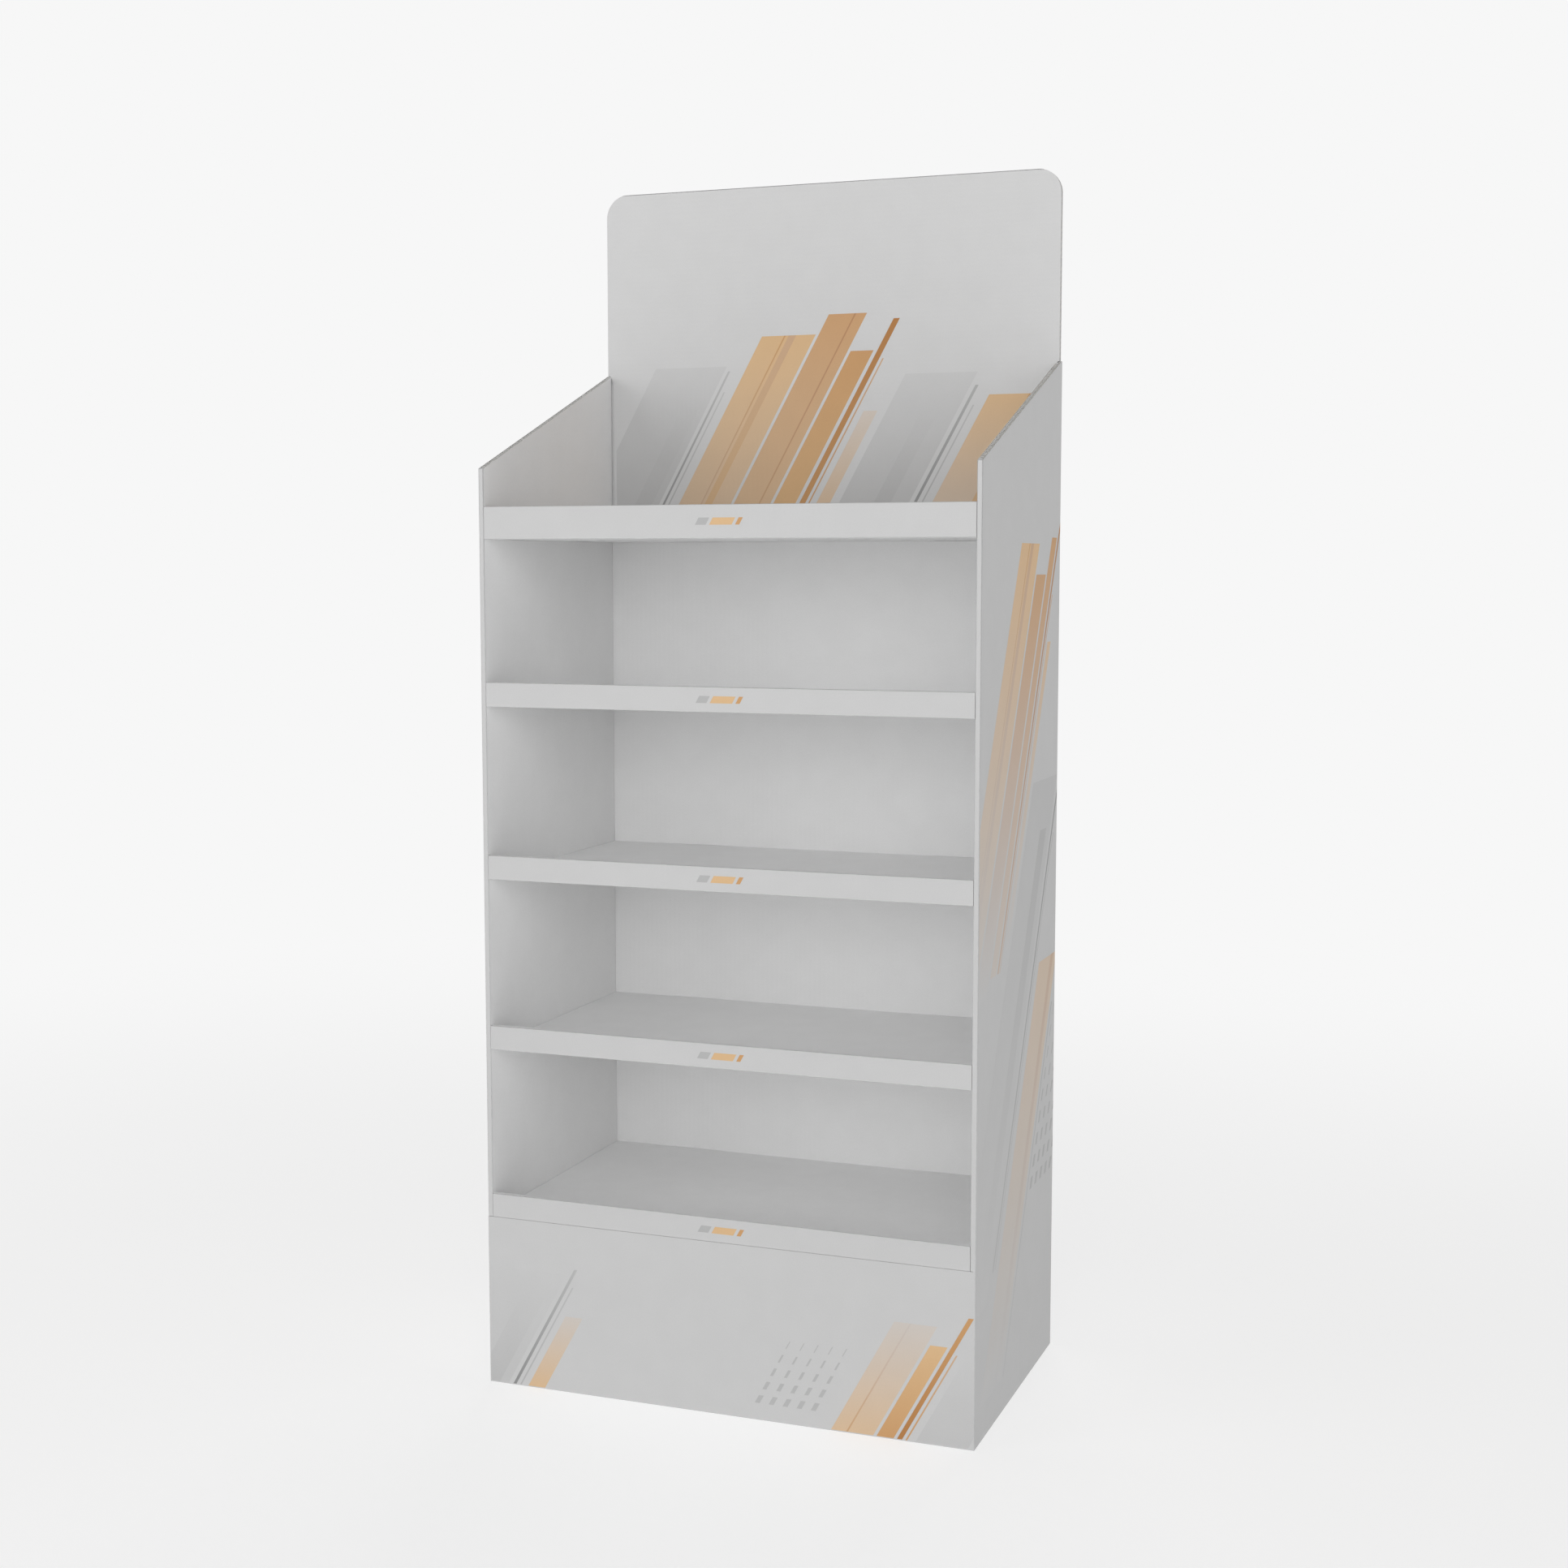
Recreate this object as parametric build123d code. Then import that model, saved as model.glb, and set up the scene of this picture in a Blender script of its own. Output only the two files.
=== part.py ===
from build123d import *
import os

# A display stand of folded corrugated board. It stands on the floor at Z 0, centred on X 0 and Y 0,
# with its open front towards -Y. Every piece is one sheet. Trays are counted from the bottom one up.

# Sizes of the whole stand
stand_width = 600.0
stand_depth = 360.0
plinth_height = 203.0

# Trays
tray_count = 5
tray_pitch = 202.7
lip_height = 28.4
top_lip_height = 37.4
top_upstand_height = 24.0

# Walls and header above the top tray
wall_above_top_lip = 43.2
wall_slope_rise = 133.7
header_rise = 227.9
header_inset = 2.0
header_corner_radius = 29.0
tongue_side_gap = 3.25
tongue_corner_radius = 8.0
shoulder_inset = 2.0
shoulder_drop = 10.0

# Thickness of each sheet
wall_board = 3.0
shelf_board = 4.0
back_board = 4.0
header_board = 3.5

# Folds, fits and cuts
crease_radius = 1.0
leaf_gap = 0.25
clearance = 0.25
cut_width = 0.5
glue_flap_width = 35.0
overrun = 10.0

# Locking tabs, with their places as shares of the edge that carries them
side_tab_width = 60.0
rear_tab_width = 70.0
lip_tab_width = 40.0
side_tab_shares = (0.25, 0.75)
rear_tab_shares = (0.2, 0.8)
lip_tab_shares = (0.15, 0.5, 0.85)

# Planes of the walls
half_width = stand_width / 2
front_y = -stand_depth / 2
rear_y = stand_depth / 2
side_inner_x = half_width - wall_board
return_outer_x = side_inner_x - leaf_gap
return_inner_x = return_outer_x - wall_board
back_inner_y = rear_y - wall_board

# Planes of what stands against the back
liner_rear_y = back_inner_y - clearance
liner_front_y = liner_rear_y - back_board
return_rear_y = liner_front_y - cut_width
header_front_y = rear_y - 2 * header_board - leaf_gap

# Planes of the trays
tray_half_width = return_inner_x - clearance
tray_rear_y = min(liner_front_y, header_front_y) - clearance
lip_inner_leaf_y = front_y + shelf_board + leaf_gap
lip_rear_y = lip_inner_leaf_y + shelf_board
side_tab_end_x = side_inner_x - clearance
top_tray = tray_count - 1


def lip_top(tray):
    return plinth_height + lip_height + tray * tray_pitch


def underside(tray):
    height = top_lip_height if tray == top_tray else lip_height
    return lip_top(tray) - height


def shelf_surface(tray):
    return underside(tray) + shelf_board


# Heights of the walls and the header
wall_front_height = lip_top(top_tray) + wall_above_top_lip
wall_back_height = wall_front_height + wall_slope_rise
header_top = wall_back_height + header_rise
liner_top = shelf_surface(top_tray)
tongue_bottom = liner_top + clearance

# Half widths of the header card
header_half_width = half_width - header_inset
tongue_half_width = return_inner_x - tongue_side_gap
shoulder_half_width = header_half_width - shoulder_inset


def flat(x_span, y_span):
    """A rectangle in the XY plane between two ends each way."""
    size = [high - low for low, high in (x_span, y_span)]
    middle = [(low + high) / 2 for low, high in (x_span, y_span)]
    return Pos(*middle) * Rectangle(*size)


def block(x_span, y_span, z_span):
    """A box between two ends along each axis."""
    size = [high - low for low, high in (x_span, y_span, z_span)]
    middle = [(low + high) / 2 for low, high in (x_span, y_span, z_span)]
    return Pos(*middle) * Box(*size)


def upright(plan, bottom, top):
    """A plan extruded between two heights."""
    return extrude(Pos(0, 0, bottom) * plan, top - bottom)


def along_x(section, half_length):
    """A section drawn as (Y, Z), extruded both ways along X."""
    return extrude(Plane.YZ * section, half_length, both=True)


def on_side(side, inner, outer):
    """The X span between two distances from the middle, on the left (-1) or the right (1)."""
    return tuple(sorted((side * inner, side * outer)))


def about(centre, width):
    return (centre - width / 2, centre + width / 2)


def places(shares, low, high):
    """Places along an edge, from shares of its length."""
    return [low + share * (high - low) for share in shares]


def side_tab_places():
    return places(side_tab_shares, lip_rear_y, tray_rear_y)


def rear_tab_places():
    return places(rear_tab_shares, -tray_half_width, tray_half_width)


def lip_tab_places():
    return places(lip_tab_shares, -tray_half_width, tray_half_width)


def wall_plan():
    """Plan above the plinth: the back, and each side folded back on itself at the front."""
    plan = flat((-half_width, half_width), (back_inner_y, rear_y))
    for side in (-1, 1):
        plan += flat(on_side(side, side_inner_x, half_width), (front_y, rear_y))
        plan += flat(on_side(side, return_inner_x, half_width), (front_y, front_y + wall_board))
        plan += flat(on_side(side, return_inner_x, return_outer_x), (front_y, return_rear_y))
    rows = plan.vertices().group_by(Axis.Y)
    return fillet(rows[0] + rows[-1], crease_radius)


def plinth_plan():
    """Plan of the plinth: the front panel runs from the right side to a glue flap of the left one."""
    flap_y = front_y + wall_board
    left_side = flat((-half_width, -side_inner_x), (flap_y, rear_y))
    left_side += flat((-half_width, glue_flap_width - half_width), (flap_y, flap_y + wall_board))
    flap_fold = left_side.vertices().group_by(Axis.Y)[0].sort_by(Axis.X)[0]
    plan = chamfer(flap_fold, crease_radius)
    plan += flat((-half_width, half_width), (front_y, flap_y))
    plan += flat((side_inner_x, half_width), (front_y, rear_y))
    plan += flat((-half_width, half_width), (back_inner_y, rear_y))
    rows = plan.vertices().group_by(Axis.Y)
    return fillet([rows[0].sort_by(Axis.X)[-1]] + rows[-1], crease_radius)


def above_slope():
    """The space over the sloped tops of the sides, which rise to the back's level top edge."""
    outline = Polygon(
        (front_y - overrun, wall_front_height),
        (front_y, wall_front_height),
        (back_inner_y, wall_back_height),
        (back_inner_y, wall_back_height + overrun),
        (front_y - overrun, wall_back_height + overrun),
        align=None,
    )
    return along_x(outline, half_width + overrun)


def plinth_cuts():
    """The die cut that parts the plinth's front panel from the folded front edges and the returns."""
    heights = (plinth_height, plinth_height + cut_width)
    behind_folds = front_y + wall_board + 2 * crease_radius
    at_front = block((-half_width - overrun, side_inner_x), (front_y - overrun, behind_folds), heights)
    at_returns = block((-side_inner_x, side_inner_x), (front_y, return_rear_y + cut_width), heights)
    return at_front + at_returns


def return_slots():
    """The slots in both inner returns, one for each side tab of each tray."""
    slots = []
    for tray in range(tray_count):
        heights = (underside(tray) - clearance, shelf_surface(tray) + clearance)
        for side in (-1, 1):
            across = on_side(side, return_inner_x - overrun, return_outer_x + leaf_gap / 2)
            for place in side_tab_places():
                slots.append(block(across, about(place, side_tab_width + 2 * clearance), heights))
    return slots


def outer_body():
    body = upright(plinth_plan(), 0, plinth_height)
    body += upright(wall_plan(), plinth_height, wall_back_height)
    return body - above_slope() - plinth_cuts() - return_slots()


def base_liner():
    """A strip folded to a U inside the plinth, under the bottom tray and the inner returns."""
    liner_front = front_y + 2 * wall_board + clearance
    plan = flat((-return_outer_x, return_outer_x), (liner_front, liner_front + wall_board))
    for side in (-1, 1):
        plan += flat(on_side(side, return_inner_x, return_outer_x), (liner_front, return_rear_y))
    folds = plan.vertices().group_by(Axis.Y)[0]
    return upright(fillet(folds, crease_radius), 0, plinth_height)


def inner_back_panel():
    panel = block((-side_tab_end_x, side_tab_end_x), (liner_front_y, liner_rear_y), (0, liner_top))
    through = (liner_front_y - overrun, liner_rear_y + overrun)
    for tray in range(tray_count):
        heights = (underside(tray) - clearance, shelf_surface(tray) + clearance)
        for place in rear_tab_places():
            panel -= block(about(place, rear_tab_width + 2 * clearance), through, heights)
    return panel


def tray_section(tray):
    """Section of a tray: its shelf, its front lip folded double and, on the top tray, a rear upstand."""
    bottom = underside(tray)
    surface = shelf_surface(tray)
    top = lip_top(tray)
    section = flat((front_y, tray_rear_y), (bottom, surface))
    section += flat((front_y, front_y + shelf_board), (bottom, top))
    section += flat((front_y, lip_rear_y), (top - shelf_board, top))
    section += flat((lip_inner_leaf_y, lip_rear_y), (surface + leaf_gap, top))
    lip_folds = section.vertices().group_by(Axis.Y)[-1]
    front_fold = section.vertices().group_by(Axis.Y)[0].sort_by(Axis.X)[0]
    section = fillet(lip_folds + [front_fold], crease_radius)
    if tray == top_tray:
        section += flat((tray_rear_y - shelf_board, tray_rear_y), (bottom, surface + top_upstand_height))
        rear_fold = section.vertices().group_by(Axis.Y)[0].sort_by(Axis.X)[-1]
        section = fillet(rear_fold, crease_radius)
    return section


def shelf_tray(tray):
    bottom = underside(tray)
    surface = shelf_surface(tray)
    body = along_x(tray_section(tray), tray_half_width)
    rear_tab_depth = liner_rear_y - tray_rear_y
    for place in lip_tab_places():
        slot_depth = (lip_inner_leaf_y - clearance, lip_rear_y + clearance)
        body -= block(about(place, lip_tab_width + 2 * clearance), slot_depth, (bottom - overrun, surface))
        body += block(about(place, lip_tab_width), (lip_inner_leaf_y, lip_rear_y), (bottom, surface + shelf_board))
    for place in rear_tab_places():
        across = about(place, rear_tab_width)
        if tray == top_tray:
            window = (surface, surface + rear_tab_depth)
            body -= block(across, (tray_rear_y - shelf_board, tray_rear_y), window)
        body += block(across, (tray_rear_y - shelf_board, liner_rear_y), (bottom, surface))
    for side in (-1, 1):
        for place in side_tab_places():
            across = on_side(side, tray_half_width - shelf_board, side_tab_end_x)
            body += block(across, about(place, side_tab_width), (bottom, surface))
    return body


def header_section():
    """Section of the header: a long front leaf and a short rear leaf, joined by the fold at the top."""
    section = flat((header_front_y, header_front_y + header_board), (tongue_bottom, header_top))
    section += flat((rear_y - header_board, rear_y), (wall_back_height, header_top))
    section += flat((header_front_y, rear_y), (header_top - header_board, header_top))
    return fillet(section.vertices().group_by(Axis.Y)[-1], crease_radius)


def header_outline():
    """Front view of the header: rounded top corners, shoulders and a narrower tongue."""
    head = flat((-header_half_width, header_half_width), (wall_back_height, header_top))
    head = fillet(head.vertices().group_by(Axis.Y)[-1], header_corner_radius)
    tongue = flat((-tongue_half_width, tongue_half_width), (tongue_bottom, wall_back_height))
    tongue = fillet(tongue.vertices().group_by(Axis.Y)[0], tongue_corner_radius)
    outline = head + tongue
    for side in (-1, 1):
        outline += Polygon(
            (side * tongue_half_width, wall_back_height),
            (side * shoulder_half_width, wall_back_height),
            (side * tongue_half_width, wall_back_height - shoulder_drop),
            align=None,
        )
    return outline


def header_card():
    leaves = along_x(header_section(), half_width)
    outline = extrude(Plane.XZ * header_outline(), stand_depth, both=True)
    return leaves & outline


nodes = {
    "outer_body": outer_body(),
    "base_liner": base_liner(),
    "inner_back_panel": inner_back_panel(),
    "header_card": header_card(),
}
for tray in range(tray_count):
    nodes[f"shelf_tray_{tray + 1}"] = shelf_tray(tray)

os.makedirs("parts", exist_ok=True)
for name, shape in nodes.items():
    export_step(shape, f"parts/{name}.step")
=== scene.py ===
"""Cardboard display stand: printed board, artwork, cut edges, studio and camera. Lengths are in metres."""

from math import cos, pi, radians, sin

import bmesh
import bpy
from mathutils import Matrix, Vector


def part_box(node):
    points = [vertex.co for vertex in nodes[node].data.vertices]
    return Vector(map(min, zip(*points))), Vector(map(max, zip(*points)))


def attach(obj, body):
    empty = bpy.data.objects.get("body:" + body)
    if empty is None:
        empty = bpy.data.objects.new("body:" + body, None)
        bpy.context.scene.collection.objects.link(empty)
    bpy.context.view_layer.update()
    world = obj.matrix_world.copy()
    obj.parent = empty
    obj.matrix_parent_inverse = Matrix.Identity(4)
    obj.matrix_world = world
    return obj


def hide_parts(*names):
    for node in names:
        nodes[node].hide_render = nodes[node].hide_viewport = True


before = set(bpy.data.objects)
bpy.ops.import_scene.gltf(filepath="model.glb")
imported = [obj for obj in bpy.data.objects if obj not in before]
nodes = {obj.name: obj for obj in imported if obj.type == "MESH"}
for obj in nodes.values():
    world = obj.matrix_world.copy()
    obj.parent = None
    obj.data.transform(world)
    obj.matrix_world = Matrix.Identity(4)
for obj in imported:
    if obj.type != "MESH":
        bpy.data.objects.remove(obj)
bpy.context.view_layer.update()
scene = bpy.context.scene
MM = 0.001

# Board, and the whites of its paper: one paper white in painted copies, darker on the outside and the header
# as painted shade, lighter on the walls, back and trays as painted light; the flutes keep their own tone

BOARD = 3 * MM
HEADER_BOARD = 3.5 * MM
FLUTE_PITCH = 6.5 * MM
SHADED_OUTSIDE_WHITE = (0.543, 0.543, 0.543)
SHADED_HEADER_WHITE = (0.606, 0.606, 0.606)
LIT_WALL_WHITE = (0.82, 0.82, 0.82)
LIT_BACK_WHITE = (0.86, 0.86, 0.86)
LIT_TRAY_WHITE = (0.9, 0.9, 0.9)
FLUTE_WHITE = (0.74, 0.72, 0.68)

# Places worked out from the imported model, and how near two vertices count as level or as one

HAIR = 0.1 * MM
TOUCH = 0.01 * MM
WELD = 0.001 * MM
LIP_DEPTH = 5 * MM


def furthest(name, axis, counts):
    """The furthest place along an axis among those vertices of a node that count."""
    return max(getattr(vertex.co, axis) for vertex in nodes[name].data.vertices if counts(vertex.co))


body_low, body_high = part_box("outer_body")
header_low, header_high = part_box("header_card")
liner_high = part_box("base_liner")[1]
FRONT_Y = body_low.y
SIDE_X = body_high.x
BACK_Y = body_high.y
PLINTH_TOP = liner_high.z
RETURN_OUTER_X = liner_high.x
HEADER_FRONT_Y = header_low.y
HEADER_TOP = header_high.z
WALL_FRONT_TOP = furthest("outer_body", "z", lambda place: place.y < FRONT_Y + HAIR)
WALL_SLOPE = (body_high.z - WALL_FRONT_TOP) / (BACK_Y - BOARD - FRONT_Y)
RETURN_REAR_Y = furthest("outer_body", "y", lambda place: abs(place.x) < SIDE_X - 2 * BOARD
                         and place.z > WALL_FRONT_TOP and place.y < BACK_Y - BOARD - HAIR)
CORNER_START = furthest("header_card", "z", lambda place: place.x > header_high.x - TOUCH)
CORNER_RADIUS = HEADER_TOP - CORNER_START
TRAYS = sorted(name for name in nodes if name.startswith("shelf_tray"))
LIP_TOPS = {name: furthest(name, "z", lambda place: place.y < FRONT_Y + LIP_DEPTH) for name in TRAYS}

# Paper: the sizes of its detail, and what they do to its tone, roughness and relief

FIBRE_SIZE = 0.9 * MM
RUB_SIZE = 6 * MM
LUMP_SIZE = 28 * MM
MOTTLE_SIZE = 35 * MM
OUTSIDE_SHADE_DEPTH = (0.9 * MM, 1.1 * MM)
RUBBED_DEPTH = (0.4 * MM, 2.2 * MM)
FIBRE_TONE = (0.975, 1.015)
MOTTLE_TONE = (-0.008, 0.008)
RUBBED_TONE = -0.05
FIBRE_ROUGHNESS = (-0.04, 0.05)
RUBBED_ROUGHNESS = 0.15
FIBRE_RELIEF = 0.9
LUMP_RELIEF = 2.5
RELIEF = 0.04 * MM
RELIEF_STRENGTH = 0.5
PAPER_GLOSS = 0.3
SIDEWAYS = 0.7
NOISE_SPAN = (0.3, 0.7)
RUB_SPAN = (0.35, 0.7)
ROUGHNESS_SPAN = (0.2, 0.8)


class Graph:
    """Writes a material's shader nodes, so that a pattern reads as a formula."""

    def __init__(self, name):
        self.material = bpy.data.materials.new(name)
        self.material.use_nodes = True
        self.tree = self.material.node_tree
        self.tree.nodes.clear()
        self.shader = self.node("ShaderNodeBsdfPrincipled")
        output = self.node("ShaderNodeOutputMaterial")
        self.join(self.shader.outputs["BSDF"], output.inputs["Surface"])

    def node(self, kind, **settings):
        made = self.tree.nodes.new(kind)
        for key, value in settings.items():
            setattr(made, key, value)
        return made

    def join(self, value, socket):
        """Links a socket to another one, or sets it to a plain value."""
        if isinstance(value, bpy.types.NodeSocket):
            self.tree.links.new(value, socket)
        else:
            socket.default_value = value

    def math(self, operation, *values):
        made = self.node("ShaderNodeMath", operation=operation)
        for value, socket in zip(values, made.inputs):
            self.join(value, socket)
        return made.outputs[0]

    def total(self, first, *others):
        for other in others:
            first = self.math("ADD", first, other)
        return first

    def times(self, first, second):
        return self.math("MULTIPLY", first, second)

    def step(self, value, low, high, out_low=0.0, out_high=1.0):
        """A smooth step from out_low, where value is low, to out_high, where it is high."""
        made = self.node("ShaderNodeMapRange", interpolation_type="SMOOTHSTEP")
        for key, given in (("Value", value), ("From Min", low), ("From Max", high),
                           ("To Min", out_low), ("To Max", out_high)):
            self.join(given, made.inputs[key])
        return made.outputs["Result"]

    def noise(self, size, detail=2.0, stretch=(1, 1, 1), roughness=0.5):
        """Noise from 0 to 1 whose lumps are about size metres across."""
        mapping = self.node("ShaderNodeMapping")
        self.join(self.place(), mapping.inputs["Vector"])
        mapping.inputs["Scale"].default_value = stretch
        made = self.node("ShaderNodeTexNoise")
        self.join(mapping.outputs["Vector"], made.inputs["Vector"])
        made.inputs["Scale"].default_value = 1 / size
        made.inputs["Detail"].default_value = detail
        made.inputs["Roughness"].default_value = roughness
        return made.outputs["Fac"]

    def place(self):
        return self.node("ShaderNodeTexCoord").outputs["Object"]

    def axes(self, vector):
        made = self.node("ShaderNodeSeparateXYZ")
        self.join(vector, made.inputs["Vector"])
        return made.outputs

    def mix(self, share, first, second):
        made = self.node("ShaderNodeMix", data_type="RGBA")
        self.join(share, made.inputs["Factor"])
        self.join(first, made.inputs["A"])
        self.join(second, made.inputs["B"])
        return made.outputs["Result"]

    def shade(self, colour, factor):
        """The colour times a factor."""
        made = self.node("ShaderNodeMix", data_type="RGBA", blend_type="MULTIPLY")
        made.inputs["Factor"].default_value = 1.0
        self.join(colour, made.inputs["A"])
        grey = self.node("ShaderNodeCombineColor")
        for channel in grey.inputs:
            self.join(factor, channel)
        self.join(grey.outputs["Color"], made.inputs["B"])
        return made.outputs["Result"]


def opaque(colour):
    return (*colour, 1.0)


def paper(name, ground, white=None, roughness=0.62, level=False):
    """Top paper on corrugated board: fibre, mottle, lumps, faint flute lines and rubbed folds.
    A "sheet" is darker on the stand's outside, a painted shade, and takes its given white inside it, lighter
    as a painted light; a "plain" paper is the given white all over, and an "inked" one takes the colours of
    the artwork. Flutes run upright or level."""
    graph = Graph(name)
    x, y, z = graph.axes(graph.place())
    normal = graph.axes(graph.node("ShaderNodeNewGeometry").outputs["Normal"])
    faces_side = graph.math("GREATER_THAN", graph.math("ABSOLUTE", normal["X"]), SIDEWAYS)
    faces_front = graph.math("SUBTRACT", 1.0, faces_side)
    across = graph.total(graph.times(faces_side, y), graph.times(faces_front, x))
    flutes = graph.math("SINE", graph.times(z if level else across, 2 * pi / FLUTE_PITCH))
    fibre = graph.noise(FIBRE_SIZE, detail=5, stretch=(1, 1, 0.45), roughness=0.65)
    mottle = graph.noise(MOTTLE_SIZE, detail=3)
    lumps = graph.noise(LUMP_SIZE, detail=2)

    from_side = graph.math("SUBTRACT", SIDE_X, graph.math("ABSOLUTE", x))
    from_front = graph.math("SUBTRACT", BACK_Y, graph.math("ABSOLUTE", y))
    near_fold = graph.step(graph.math("MAXIMUM", from_side, from_front), *RUBBED_DEPTH, 1.0, 0.0)
    rubbed = graph.times(near_fold, graph.step(graph.noise(RUB_SIZE, detail=4), *RUB_SPAN))
    if ground == "sheet":
        # A sheet's outside takes the darker white, a painted shade, and its inside the lighter white, a
        # painted light.
        outside = graph.step(graph.math("MINIMUM", from_side, from_front), *OUTSIDE_SHADE_DEPTH, 1.0, 0.0)
        colour = graph.mix(outside, opaque(white), opaque(SHADED_OUTSIDE_WHITE))
    elif ground == "inked":
        colour = graph.node("ShaderNodeVertexColor", layer_name="ink").outputs["Color"]
    else:
        colour = opaque(white)
    tone = graph.total(graph.step(fibre, *NOISE_SPAN, *FIBRE_TONE),
                       graph.step(mottle, *NOISE_SPAN, *MOTTLE_TONE),
                       graph.times(rubbed, RUBBED_TONE))
    graph.join(graph.shade(colour, tone), graph.shader.inputs["Base Color"])

    smooth, rough = (roughness + change for change in FIBRE_ROUGHNESS)
    grain = graph.step(fibre, *ROUGHNESS_SPAN, smooth, rough)
    graph.join(graph.total(grain, graph.times(rubbed, RUBBED_ROUGHNESS)), graph.shader.inputs["Roughness"])
    graph.shader.inputs["Specular IOR Level"].default_value = PAPER_GLOSS

    bump = graph.node("ShaderNodeBump")
    bump.inputs["Strength"].default_value = RELIEF_STRENGTH
    bump.inputs["Distance"].default_value = RELIEF
    relief = graph.total(graph.times(fibre, FIBRE_RELIEF), graph.times(lumps, LUMP_RELIEF), flutes)
    graph.join(relief, bump.inputs["Height"])
    graph.join(bump.outputs["Normal"], graph.shader.inputs["Normal"])
    return graph.material


def dress(material, *names):
    """Gives CAD nodes a material."""
    for name in names:
        slots = nodes[name].material_slots
        for place in slots:
            place.material = material
        if not slots:
            nodes[name].data.materials.append(material)


# The whites given to these papers are painted shaded and lit copies of one paper white.
printed_paper = paper("printed_paper", "sheet", LIT_WALL_WHITE)
tray_paper = paper("tray_paper", "sheet", LIT_TRAY_WHITE)
header_paper = paper("header_paper", "plain", SHADED_HEADER_WHITE, level=True)
plain_paper = paper("plain_paper", "plain", LIT_BACK_WHITE, roughness=0.7)
printed_ink = paper("printed_ink", "inked", roughness=0.55)
flute_paper = paper("flute_paper", "plain", FLUTE_WHITE, roughness=0.8)
dress(printed_paper, "outer_body")
dress(tray_paper, *TRAYS)
dress(header_paper, "header_card")
dress(plain_paper, "base_liner", "inner_back_panel")

# Pieces that ride on the stand


def finished(mesh, name, material=None):
    """Turns a bmesh into a linked object, with its faces turned outwards."""
    bmesh.ops.recalc_face_normals(mesh, faces=mesh.faces)
    data = bpy.data.meshes.new(name)
    mesh.to_mesh(data)
    mesh.free()
    if material:
        data.materials.append(material)
    made = bpy.data.objects.new(name, data)
    scene.collection.objects.link(made)
    return made


def added(name, mesh, material):
    """A new piece of the stand."""
    piece = finished(mesh, name, material)
    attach(piece, "root")


def carved(node, cutters, material):
    """A copy of a CAD node with the cutters taken out of it, which stands for the node."""
    copy = bmesh.new()
    copy.from_mesh(nodes[node].data)
    bmesh.ops.remove_doubles(copy, verts=copy.verts, dist=WELD)
    piece = finished(copy, node + "_board", material)
    tool = finished(cutters, "cutter")
    cut = piece.modifiers.new("flutes", "BOOLEAN")
    cut.operation = "DIFFERENCE"
    cut.solver = "EXACT"
    cut.object = tool
    result = bpy.data.meshes.new_from_object(piece.evaluated_get(bpy.context.evaluated_depsgraph_get()))
    piece.modifiers.clear()
    piece.data = result
    result.name = piece.name
    bpy.data.objects.remove(tool)
    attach(piece, "root")
    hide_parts(node)


def loft(mesh, sections):
    """Adds a closed solid that runs through rings of points."""
    rings = [[mesh.verts.new(point) for point in section] for section in sections]
    for ring, following in zip(rings, rings[1:]):
        for first, second in zip(range(len(ring)), [*range(1, len(ring)), 0]):
            mesh.faces.new((ring[first], ring[second], following[second], following[first]))
    mesh.faces.new(reversed(rings[0]))
    mesh.faces.new(rings[-1])


# Cut edges: the board's open flutes, seen between its two paper faces and out of step from leaf to leaf

LINER = 0.35 * MM
FLUTE_PAPER = 0.22 * MM
FLUTE_STEPS = 10
CORNER_STEPS = 12
POCKET = 5 * MM
LEAF_LAG = 0.37
CRUSHED_FOLD = 1.2 * MM


def wall_top(y):
    return WALL_FRONT_TOP + WALL_SLOPE * (y - FRONT_Y)


def header_side(z):
    """The header's half width at a height, within its rounded corners."""
    above = max(0.0, z - CORNER_START)
    return header_high.x - CORNER_RADIUS + (CORNER_RADIUS ** 2 - above ** 2) ** 0.5


def wall_leaves(side):
    """The middle and the ends of each leaf of a side wall: the outer leaf and the inner return."""
    outer_middle = SIDE_X - BOARD / 2
    inner_middle = RETURN_OUTER_X - BOARD / 2
    return [(side * outer_middle, FRONT_Y + BOARD, BACK_Y - BOARD),
            (side * inner_middle, FRONT_Y + BOARD, RETURN_REAR_Y)]


def header_leaves():
    return [HEADER_FRONT_Y + HEADER_BOARD / 2, BACK_Y - HEADER_BOARD / 2]


def waves(low, high, lag):
    """Steps along a run of flutes: the place, the wave from -1 to 1, and its slope across the run."""
    count = round((high - low) / FLUTE_PITCH * FLUTE_STEPS)
    for step in range(count + 1):
        place = low + (high - low) * step / count
        angle = 2 * pi * (place / FLUTE_PITCH - lag)
        yield place, sin(angle), cos(angle)


def wall_pocket(mesh, x, low_y, high_y):
    half = BOARD / 2 - LINER
    sections = []
    for y in (low_y, high_y):
        bottom, top = wall_top(y) - POCKET, wall_top(y) + POCKET
        sections.append([(x - half, y, bottom), (x + half, y, bottom),
                         (x + half, y, top), (x - half, y, top)])
    loft(mesh, sections)


def wall_flutes(mesh, x, low_y, high_y, lag):
    """Upright flutes in one leaf, cut off along the sloped top."""
    swing = BOARD / 2 - LINER - FLUTE_PAPER / 2
    sections = []
    for y, wave, turn in waves(low_y, high_y, lag):
        tilt = swing * 2 * pi / FLUTE_PITCH * turn
        across = Vector((1, -tilt, 0)).normalized() * FLUTE_PAPER / 2
        middle = Vector((x + swing * wave, y, 0))
        top = Vector((0, 0, wall_top(y) - HAIR))
        bottom = Vector((0, 0, wall_top(y) - POCKET))
        sections.append([middle - across + bottom, middle + across + bottom,
                         middle + across + top, middle - across + top])
    loft(mesh, sections)


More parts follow.
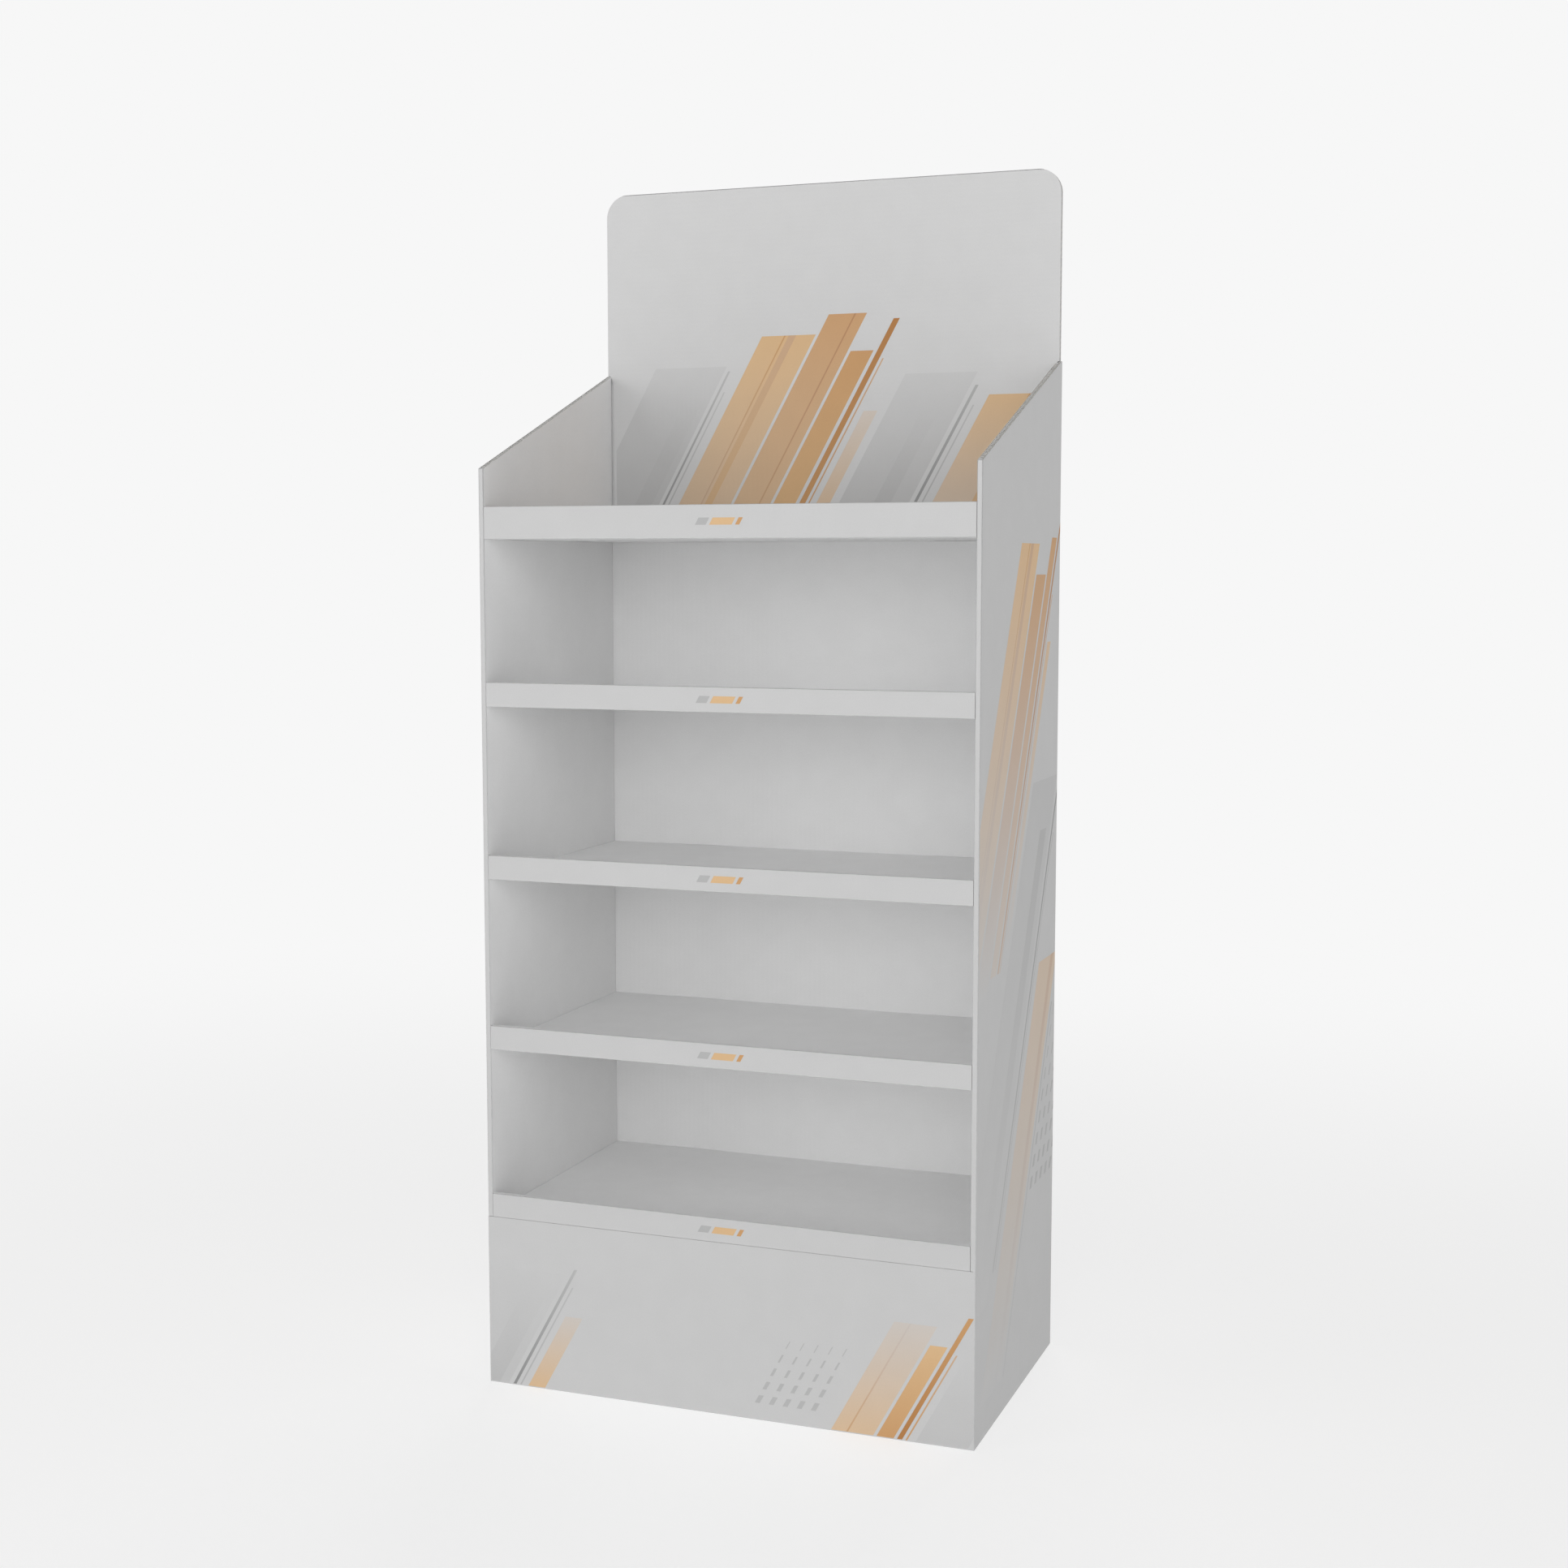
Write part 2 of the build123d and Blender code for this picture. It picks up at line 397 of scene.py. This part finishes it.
def header_pocket(mesh, side, y, low_z, high_z):
    half = HEADER_BOARD / 2 - LINER
    beyond = side * (header_high.x + POCKET)
    rise = high_z - CORNER_START
    heights = [low_z] + [CORNER_START + rise * step / CORNER_STEPS for step in range(CORNER_STEPS + 1)]
    loft(mesh, [[(side * (header_side(z) - POCKET), y - half, z), (beyond, y - half, z),
                 (beyond, y + half, z), (side * (header_side(z) - POCKET), y + half, z)] for z in heights])


def header_flutes(mesh, side, y, low_z, high_z, lag):
    """Level flutes in one leaf, cut off along the header's side and rounded corner."""
    swing = HEADER_BOARD / 2 - LINER - FLUTE_PAPER / 2
    sections = []
    for z, wave, turn in waves(low_z, high_z, lag):
        tilt = swing * 2 * pi / FLUTE_PITCH * turn
        across = Vector((0, 1, -tilt)).normalized() * FLUTE_PAPER / 2
        middle = Vector((0, y + swing * wave, z))
        outer = Vector((side * (header_side(z) - HAIR), 0, 0))
        inner = Vector((side * (header_side(z) - POCKET), 0, 0))
        sections.append([middle - across + inner, middle + across + inner,
                         middle + across + outer, middle - across + outer])
    loft(mesh, sections)


def fluted_walls():
    pockets, flutes = bmesh.new(), bmesh.new()
    for side in (-1, 1):
        for leaf, (x, low_y, high_y) in enumerate(wall_leaves(side)):
            wall_pocket(pockets, x, low_y + CRUSHED_FOLD, high_y - CRUSHED_FOLD)
            wall_flutes(flutes, x, low_y + CRUSHED_FOLD, high_y - CRUSHED_FOLD, leaf * LEAF_LAG)
    carved("outer_body", pockets, printed_paper)
    added("wall_flutes", flutes, flute_paper)


def fluted_header():
    pockets, flutes = bmesh.new(), bmesh.new()
    low_z, high_z = body_high.z + LINER, HEADER_TOP - HEADER_BOARD - LINER
    for side in (-1, 1):
        for leaf, y in enumerate(header_leaves()):
            header_pocket(pockets, side, y, low_z, high_z)
            header_flutes(flutes, side, y, low_z, high_z, leaf * LEAF_LAG)
    carved("header_card", pockets, header_paper)
    added("header_flutes", flutes, flute_paper)


fluted_walls()
fluted_header()

# Artwork: leaning bars and dashes, in millimetres on each panel

LEAN = 0.55
INK_LIFT = 0.04 * MM
FOLD_MARGIN = 1.2
SEAM_MARGIN = 5
TONGUE_ART_EDGE = 287
SIDE_ART_TOP = 1080
SIDE_ART_MIDDLE = 560
LIP_MARK_HEIGHT = 8
DASH_LENGTH = 0.55
ORANGE_PALE = (0.646, 0.43, 0.231)
ORANGE = (0.544, 0.303, 0.13)
ORANGE_DEEP = (0.407, 0.18, 0.051)
GREY_PALE = (0.49, 0.49, 0.49)
GREY = (0.42, 0.42, 0.42)
GREY_DEEP = (0.25, 0.25, 0.25)


def bar(left, width, bottom, top, low, high, layer=0):
    """A leaning bar: its layer, its corners, and the ink and strength at each corner."""
    shift = LEAN * (top - bottom)
    corners = [(left, bottom), (left + width, bottom), (left + width + shift, top), (left + shift, top)]
    return layer, corners, [low, low, high, high]


def dashes(left, bottom, columns, rows, pitch, width, tone, layer=2):
    """Rows of short leaning dashes, which thin out upwards along the lean."""
    made = []
    for row in range(rows):
        share = 1 - row / rows
        low = bottom + pitch * row
        start = left + LEAN * pitch * row
        for column in range(columns):
            made.append(bar(start + pitch * column, width * share, low, low + pitch * DASH_LENGTH,
                            tone, tone, layer))
    return made


def mirrored(shapes):
    return [(layer, [(-across, up) for across, up in reversed(corners)], inks[::-1])
            for layer, corners, inks in shapes]


def printed(ink, strength, ground):
    """The colour of an ink of some strength, from 0 to 1, on a ground."""
    return opaque(tuple(strength * full + (1 - strength) * bare for full, bare in zip(ink, ground)))


def film(mesh, ink):
    """Closes each inked face down to the panel, so that it is a thin solid film."""
    for face in mesh.faces[:]:
        tones = {loop.vert: loop[ink].copy() for loop in face.loops}
        feet = {vert: mesh.verts.new((vert.co.x, vert.co.y, 0)) for vert in face.verts}
        tones |= {feet[vert]: tone for vert, tone in tones.items()}
        rim = list(face.verts)
        edges = zip(rim, rim[1:] + rim[:1])
        sides = [(second, first, feet[first], feet[second]) for first, second in edges]
        for corners in (*sides, [feet[vert] for vert in reversed(rim)]):
            for loop in mesh.faces.new(corners).loops:
                loop[ink] = tones[loop.vert]


def artwork(name, origin, across, window, shapes, ground=SHADED_OUTSIDE_WHITE):
    """Inks the shapes on a panel, as far as its window: left, bottom, right and top."""
    left, bottom, right, top = window
    across = Vector(across)
    outward = across.cross(Vector((0, 0, 1)))
    mesh = bmesh.new()
    ink = mesh.loops.layers.float_color.new("ink")
    for layer, corners, tones in shapes:
        lift = INK_LIFT * (layer + 1)
        face = mesh.faces.new([mesh.verts.new((x * MM, y * MM, lift)) for x, y in corners])
        for loop, (colour, strength) in zip(face.loops, tones):
            loop[ink] = printed(colour, strength, ground)
    clips = [((left, 0), (-1, 0)), ((right, 0), (1, 0)), ((0, bottom), (0, -1)), ((0, top), (0, 1))]
    for (x, y), away in clips:
        bmesh.ops.bisect_plane(mesh, geom=mesh.verts[:] + mesh.edges[:] + mesh.faces[:],
                               plane_co=(x * MM, y * MM, 0), plane_no=(*away, 0), clear_outer=True)
    film(mesh, ink)
    for vertex in mesh.verts:
        flat = vertex.co.copy()
        vertex.co = Vector(origin) + across * flat.x + Vector((0, 0, flat.y)) + outward * flat.z
    added(name, mesh, printed_ink)


def header_art():
    floor, crown = 1005, 1286
    return [
        bar(-352, 98, floor, crown - 60, (GREY_PALE, 1.0), (GREY_PALE, 0.35)),
        bar(-288, 24, floor, crown - 112, (GREY, 0.8), (GREY, 0.35), 1),
        bar(-249, 3, floor, crown - 66, (GREY_DEEP, 1.0), (GREY, 0.7)),
        bar(-241, 2, floor, crown - 92, (GREY, 1.0), (GREY, 0.5)),
        bar(-226, 72, floor, crown - 24, (ORANGE_PALE, 0.65), (ORANGE_PALE, 1.0)),
        bar(-196, 2, floor, crown - 24, (ORANGE, 0.6), (ORANGE, 1.0), 1),
        bar(-190, 10, floor, crown - 24, (ORANGE_PALE, 0.95), (ORANGE, 0.8), 1),
        bar(-150, 50, floor, crown, (ORANGE_PALE, 0.8), (ORANGE, 0.95)),
        bar(-116, 2, floor, crown, (ORANGE, 0.8), (ORANGE_DEEP, 0.9), 1),
        bar(-96, 30, floor, crown - 46, (ORANGE_PALE, 1.0), (ORANGE, 1.0)),
        bar(-61, 8, floor, crown - 8, (ORANGE, 1.0), (ORANGE_DEEP, 1.0)),
        bar(-49, 2, floor, crown - 56, (ORANGE, 1.0), (ORANGE, 0.8)),
        bar(-38, 18, floor, crown - 120, (ORANGE_PALE, 0.9), (ORANGE_PALE, 0.3)),
        bar(-8, 92, floor, crown - 76, (GREY_PALE, 1.0), (GREY_PALE, 0.35)),
        bar(38, 22, floor, crown - 132, (GREY, 0.9), (GREY, 0.37), 1),
        bar(90, 4, floor, crown - 92, (GREY_DEEP, 1.0), (GREY, 1.0)),
        bar(100, 2, floor, crown - 116, (GREY, 1.0), (GREY, 0.6)),
        bar(114, 76, floor, crown - 104, (ORANGE_PALE, 0.4), (ORANGE_PALE, 0.95)),
        bar(164, 18, floor, crown - 104, (ORANGE_PALE, 0.9), (ORANGE, 0.9), 1),
        bar(195, 4, floor, crown - 50, (ORANGE, 1.0), (ORANGE_DEEP, 0.7)),
        bar(206, 60, floor, crown - 130, (GREY_PALE, 0.9), (GREY_PALE, 0.3)),
    ]


def side_art():
    def strip(foot, width, bottom, top, low, high, layer=0):
        """A bar placed by where its left edge crosses the side's middle height."""
        return bar(foot + LEAN * (bottom - SIDE_ART_MIDDLE), width, bottom, top, low, high, layer)

    return [
        strip(-250, 84, 470, 1000, (ORANGE_PALE, 0.0), (ORANGE_PALE, 1.0)),
        strip(-214, 3, 520, 1000, (ORANGE, 0.0), (ORANGE, 1.0), 1),
        strip(-206, 12, 520, 1000, (ORANGE_PALE, 0.1), (ORANGE, 0.8), 1),
        strip(-160, 46, 500, 964, (ORANGE_PALE, 0.0), (ORANGE, 0.95)),
        strip(-108, 24, 520, 1008, (ORANGE_PALE, 0.2), (ORANGE, 1.0)),
        strip(-78, 6, 520, 1034, (ORANGE, 0.5), (ORANGE_DEEP, 1.0)),
        strip(-68, 2, 520, 940, (ORANGE, 0.4), (ORANGE, 1.0)),
        strip(-58, 16, 540, 884, (ORANGE_PALE, 0.0), (ORANGE_PALE, 0.8)),
        strip(-30, 120, 150, 720, (GREY_PALE, 0.0), (GREY_PALE, 1.0)),
        strip(40, 30, 180, 660, (GREY, 0.0), (GREY, 0.9), 1),
        strip(100, 5, 180, 730, (GREY, 0.6), (GREY_DEEP, 1.0)),
        strip(111, 2, 180, 650, (GREY, 0.6), (GREY, 1.0)),
        strip(130, 90, 40, 500, (ORANGE_PALE, 0.0), (ORANGE_PALE, 0.55)),
        strip(190, 14, 40, 500, (ORANGE_PALE, 0.0), (ORANGE, 0.6), 1),
        strip(228, 4, 40, 440, (GREY, 0.3), (GREY, 1.0)),
        *dashes(62, 230, 5, 9, 24, 9, (GREY, 0.9)),
    ]


def plinth_art():
    floor, crown = 0, 150
    return [
        bar(-380, 104, floor, crown - 8, (GREY_PALE, 0.9), (GREY_PALE, 0.1)),
        bar(-318, 30, floor, crown - 40, (GREY, 0.7), (GREY, 0.15), 1),
        bar(-270, 4, floor, crown, (GREY_DEEP, 1.0), (GREY, 0.8)),
        bar(-261, 2, floor, crown - 22, (GREY, 1.0), (GREY, 0.7)),
        bar(-250, 22, floor, crown - 58, (ORANGE_PALE, 0.9), (ORANGE_PALE, 0.2)),
        *dashes(40, 20, 5, 5, 17, 6, (GREY, 0.85)),
        bar(132, 50, floor, crown - 14, (ORANGE_PALE, 0.8), (ORANGE_PALE, 0.2)),
        bar(150, 2, floor, crown - 14, (ORANGE, 0.9), (ORANGE, 0.2), 1),
        bar(186, 20, floor, crown - 36, (ORANGE, 1.0), (ORANGE_PALE, 1.0)),
        bar(210, 6, floor, crown, (ORANGE_DEEP, 1.0), (ORANGE, 1.0)),
        bar(220, 2, floor, crown - 44, (ORANGE, 1.0), (ORANGE, 0.7)),
        bar(232, 60, floor, crown - 50, (GREY_PALE, 0.9), (GREY_PALE, 0.1)),
    ]


def lip_art(middle):
    """Three small bars at the middle of a lip."""
    low, high = middle - LIP_MARK_HEIGHT / 2, middle + LIP_MARK_HEIGHT / 2
    return [bar(-30, 13, low, high, (GREY, 1.0), (GREY, 1.0)),
            bar(-13, 27, low, high, (ORANGE_PALE, 1.0), (ORANGE_PALE, 1.0)),
            bar(18, 5, low, high, (ORANGE, 1.0), (ORANGE, 1.0))]


def inked_panels():
    """Prints every panel as far as its folds, its glued corner and the header's bare margin."""
    fold_x = SIDE_X / MM - FOLD_MARGIN
    fold_y = BACK_Y / MM - FOLD_MARGIN
    seam_y = BACK_Y / MM - SEAM_MARGIN
    header_window = (-TONGUE_ART_EDGE, header_low.z / MM + FOLD_MARGIN,
                     TONGUE_ART_EDGE, HEADER_TOP / MM - FOLD_MARGIN)
    artwork("header_print", (0, HEADER_FRONT_Y, 0), (1, 0, 0), header_window,
            header_art(), SHADED_HEADER_WHITE)
    artwork("right_side_print", (SIDE_X, 0, 0), (0, 1, 0),
            (-fold_y, FOLD_MARGIN, fold_y, SIDE_ART_TOP), side_art())
    artwork("left_side_print", (-SIDE_X, 0, 0), (0, -1, 0),
            (-fold_y, FOLD_MARGIN, seam_y, SIDE_ART_TOP), mirrored(side_art()))
    artwork("plinth_print", (0, FRONT_Y, 0), (1, 0, 0),
            (-fold_x, FOLD_MARGIN, fold_x, PLINTH_TOP / MM - FOLD_MARGIN), plinth_art())
    for tray in TRAYS:
        low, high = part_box(tray)[0].z / MM, LIP_TOPS[tray] / MM
        artwork(tray + "_print", (0, FRONT_Y, 0), (1, 0, 0),
                (-fold_x, low, fold_x, high), lip_art((low + high) / 2))


inked_panels()

# Floor, sky and lights: each lamp has its azimuth and elevation in degrees and its power in watts

FLOOR_RADIUS = 14.0
FLOOR_WHITE = 0.5
# The floor's glow is painted light: least near the stand, a painted shadow pool, and as bright as the
# horizon far off.
SHADOW_POOL_GLOW = 0.62
FLOOR_TONE = (0.99, 1.0)
FLOOR_MOTTLE_SIZE = 0.4
GLOW_NEAR = 0.5
GLOW_FAR = 3.2
HORIZON = 0.93
SKY = 0.12
SKY_FADE = (15, 32)
LAMPS = {"left_key": (-45, 10, 26), "low_key": (0, 3, 16), "camera_key": (15, 20, 31),
         "right_key": (45, 10, 13), "back_fill": (186, 20, 38)}
LAMP_SIZE = 3.0
LAMP_DISTANCE = 4.2
LIT_HEIGHT = 0.75


def studio_floor():
    """A pale floor whose glow is painted light, dimmed near the stand into a painted shadow pool, which runs
    out into the white horizon.
    """
    bpy.ops.mesh.primitive_circle_add(vertices=96, radius=FLOOR_RADIUS, fill_type="NGON", location=(0, 0, 0))
    floor = bpy.context.object
    floor.name = "studio_floor"
    graph = Graph("pale_floor")
    x, y, _ = graph.axes(graph.place())
    distance = graph.math("SQRT", graph.total(graph.times(x, x), graph.times(y, y)))
    white = graph.step(distance, GLOW_NEAR, GLOW_FAR, FLOOR_WHITE, 0.0)
    mottle = graph.step(graph.noise(FLOOR_MOTTLE_SIZE, detail=3), *NOISE_SPAN, *FLOOR_TONE)
    graph.join(graph.shade((1, 1, 1, 1), graph.times(white, mottle)), graph.shader.inputs["Base Color"])
    # Painted light: the floor glows, dimmest near the stand as a painted shadow pool.
    graph.join(graph.step(distance, GLOW_NEAR, GLOW_FAR, SHADOW_POOL_GLOW, HORIZON),
               graph.shader.inputs["Emission Strength"])
    graph.shader.inputs["Emission Color"].default_value = (1, 1, 1, 1)
    graph.shader.inputs["Roughness"].default_value = 0.9
    graph.shader.inputs["Specular IOR Level"].default_value = 0.0
    floor.data.materials.append(graph.material)


def studio_sky():
    """A white horizon under a dimmer sky."""
    world = bpy.data.worlds.new("studio_sky")
    scene.world = world
    world.use_nodes = True
    tree = world.node_tree
    background = tree.nodes["Background"]
    direction = tree.nodes.new("ShaderNodeTexCoord")
    split = tree.nodes.new("ShaderNodeSeparateXYZ")
    fall = tree.nodes.new("ShaderNodeMapRange")
    fall.interpolation_type = "SMOOTHSTEP"
    fall.inputs["From Min"].default_value = sin(radians(SKY_FADE[0]))
    fall.inputs["From Max"].default_value = sin(radians(SKY_FADE[1]))
    fall.inputs["To Min"].default_value = HORIZON
    fall.inputs["To Max"].default_value = SKY
    tree.links.new(direction.outputs["Generated"], split.inputs["Vector"])
    tree.links.new(split.outputs["Z"], fall.inputs["Value"])
    tree.links.new(fall.outputs["Result"], background.inputs["Strength"])
    background.inputs["Color"].default_value = (1, 1, 1, 1)


def soft_light(name, azimuth, elevation, power):
    """A round lamp aimed at the stand's middle. The azimuth turns from the open front towards +X."""
    light = bpy.data.lights.new(name, "AREA")
    light.shape = "DISK"
    light.size = LAMP_SIZE
    light.energy = power
    lamp = bpy.data.objects.new(name, light)
    turn, rise = radians(azimuth), radians(elevation)
    away = Vector((sin(turn) * cos(rise), -cos(turn) * cos(rise), sin(rise)))
    lamp.location = away * LAMP_DISTANCE + Vector((0, 0, LIT_HEIGHT))
    lamp.rotation_euler = away.to_track_quat("Z", "Y").to_euler()
    lamp.visible_camera = False
    scene.collection.objects.link(lamp)


studio_floor()
studio_sky()
for lamp_name, setting in LAMPS.items():
    soft_light(lamp_name, *setting)

# Camera: its place, its tilt below level and turn to the left in degrees, and its lens in millimetres

CAMERA_PLACE = (0.911, -2.4315, 0.973)
CAMERA_TILT = 5.693
CAMERA_TURN = 20.353
LENS = 50
SENSOR = 36


def photo_camera():
    data = bpy.data.cameras.new("camera")
    data.lens = LENS
    data.sensor_width = SENSOR
    viewer = bpy.data.objects.new("camera", data)
    viewer.location = CAMERA_PLACE
    viewer.rotation_euler = (radians(90 - CAMERA_TILT), 0, radians(CAMERA_TURN))
    scene.collection.objects.link(viewer)
    scene.camera = viewer


photo_camera()
scene.view_settings.view_transform = "Standard"
scene.view_settings.look = "None"
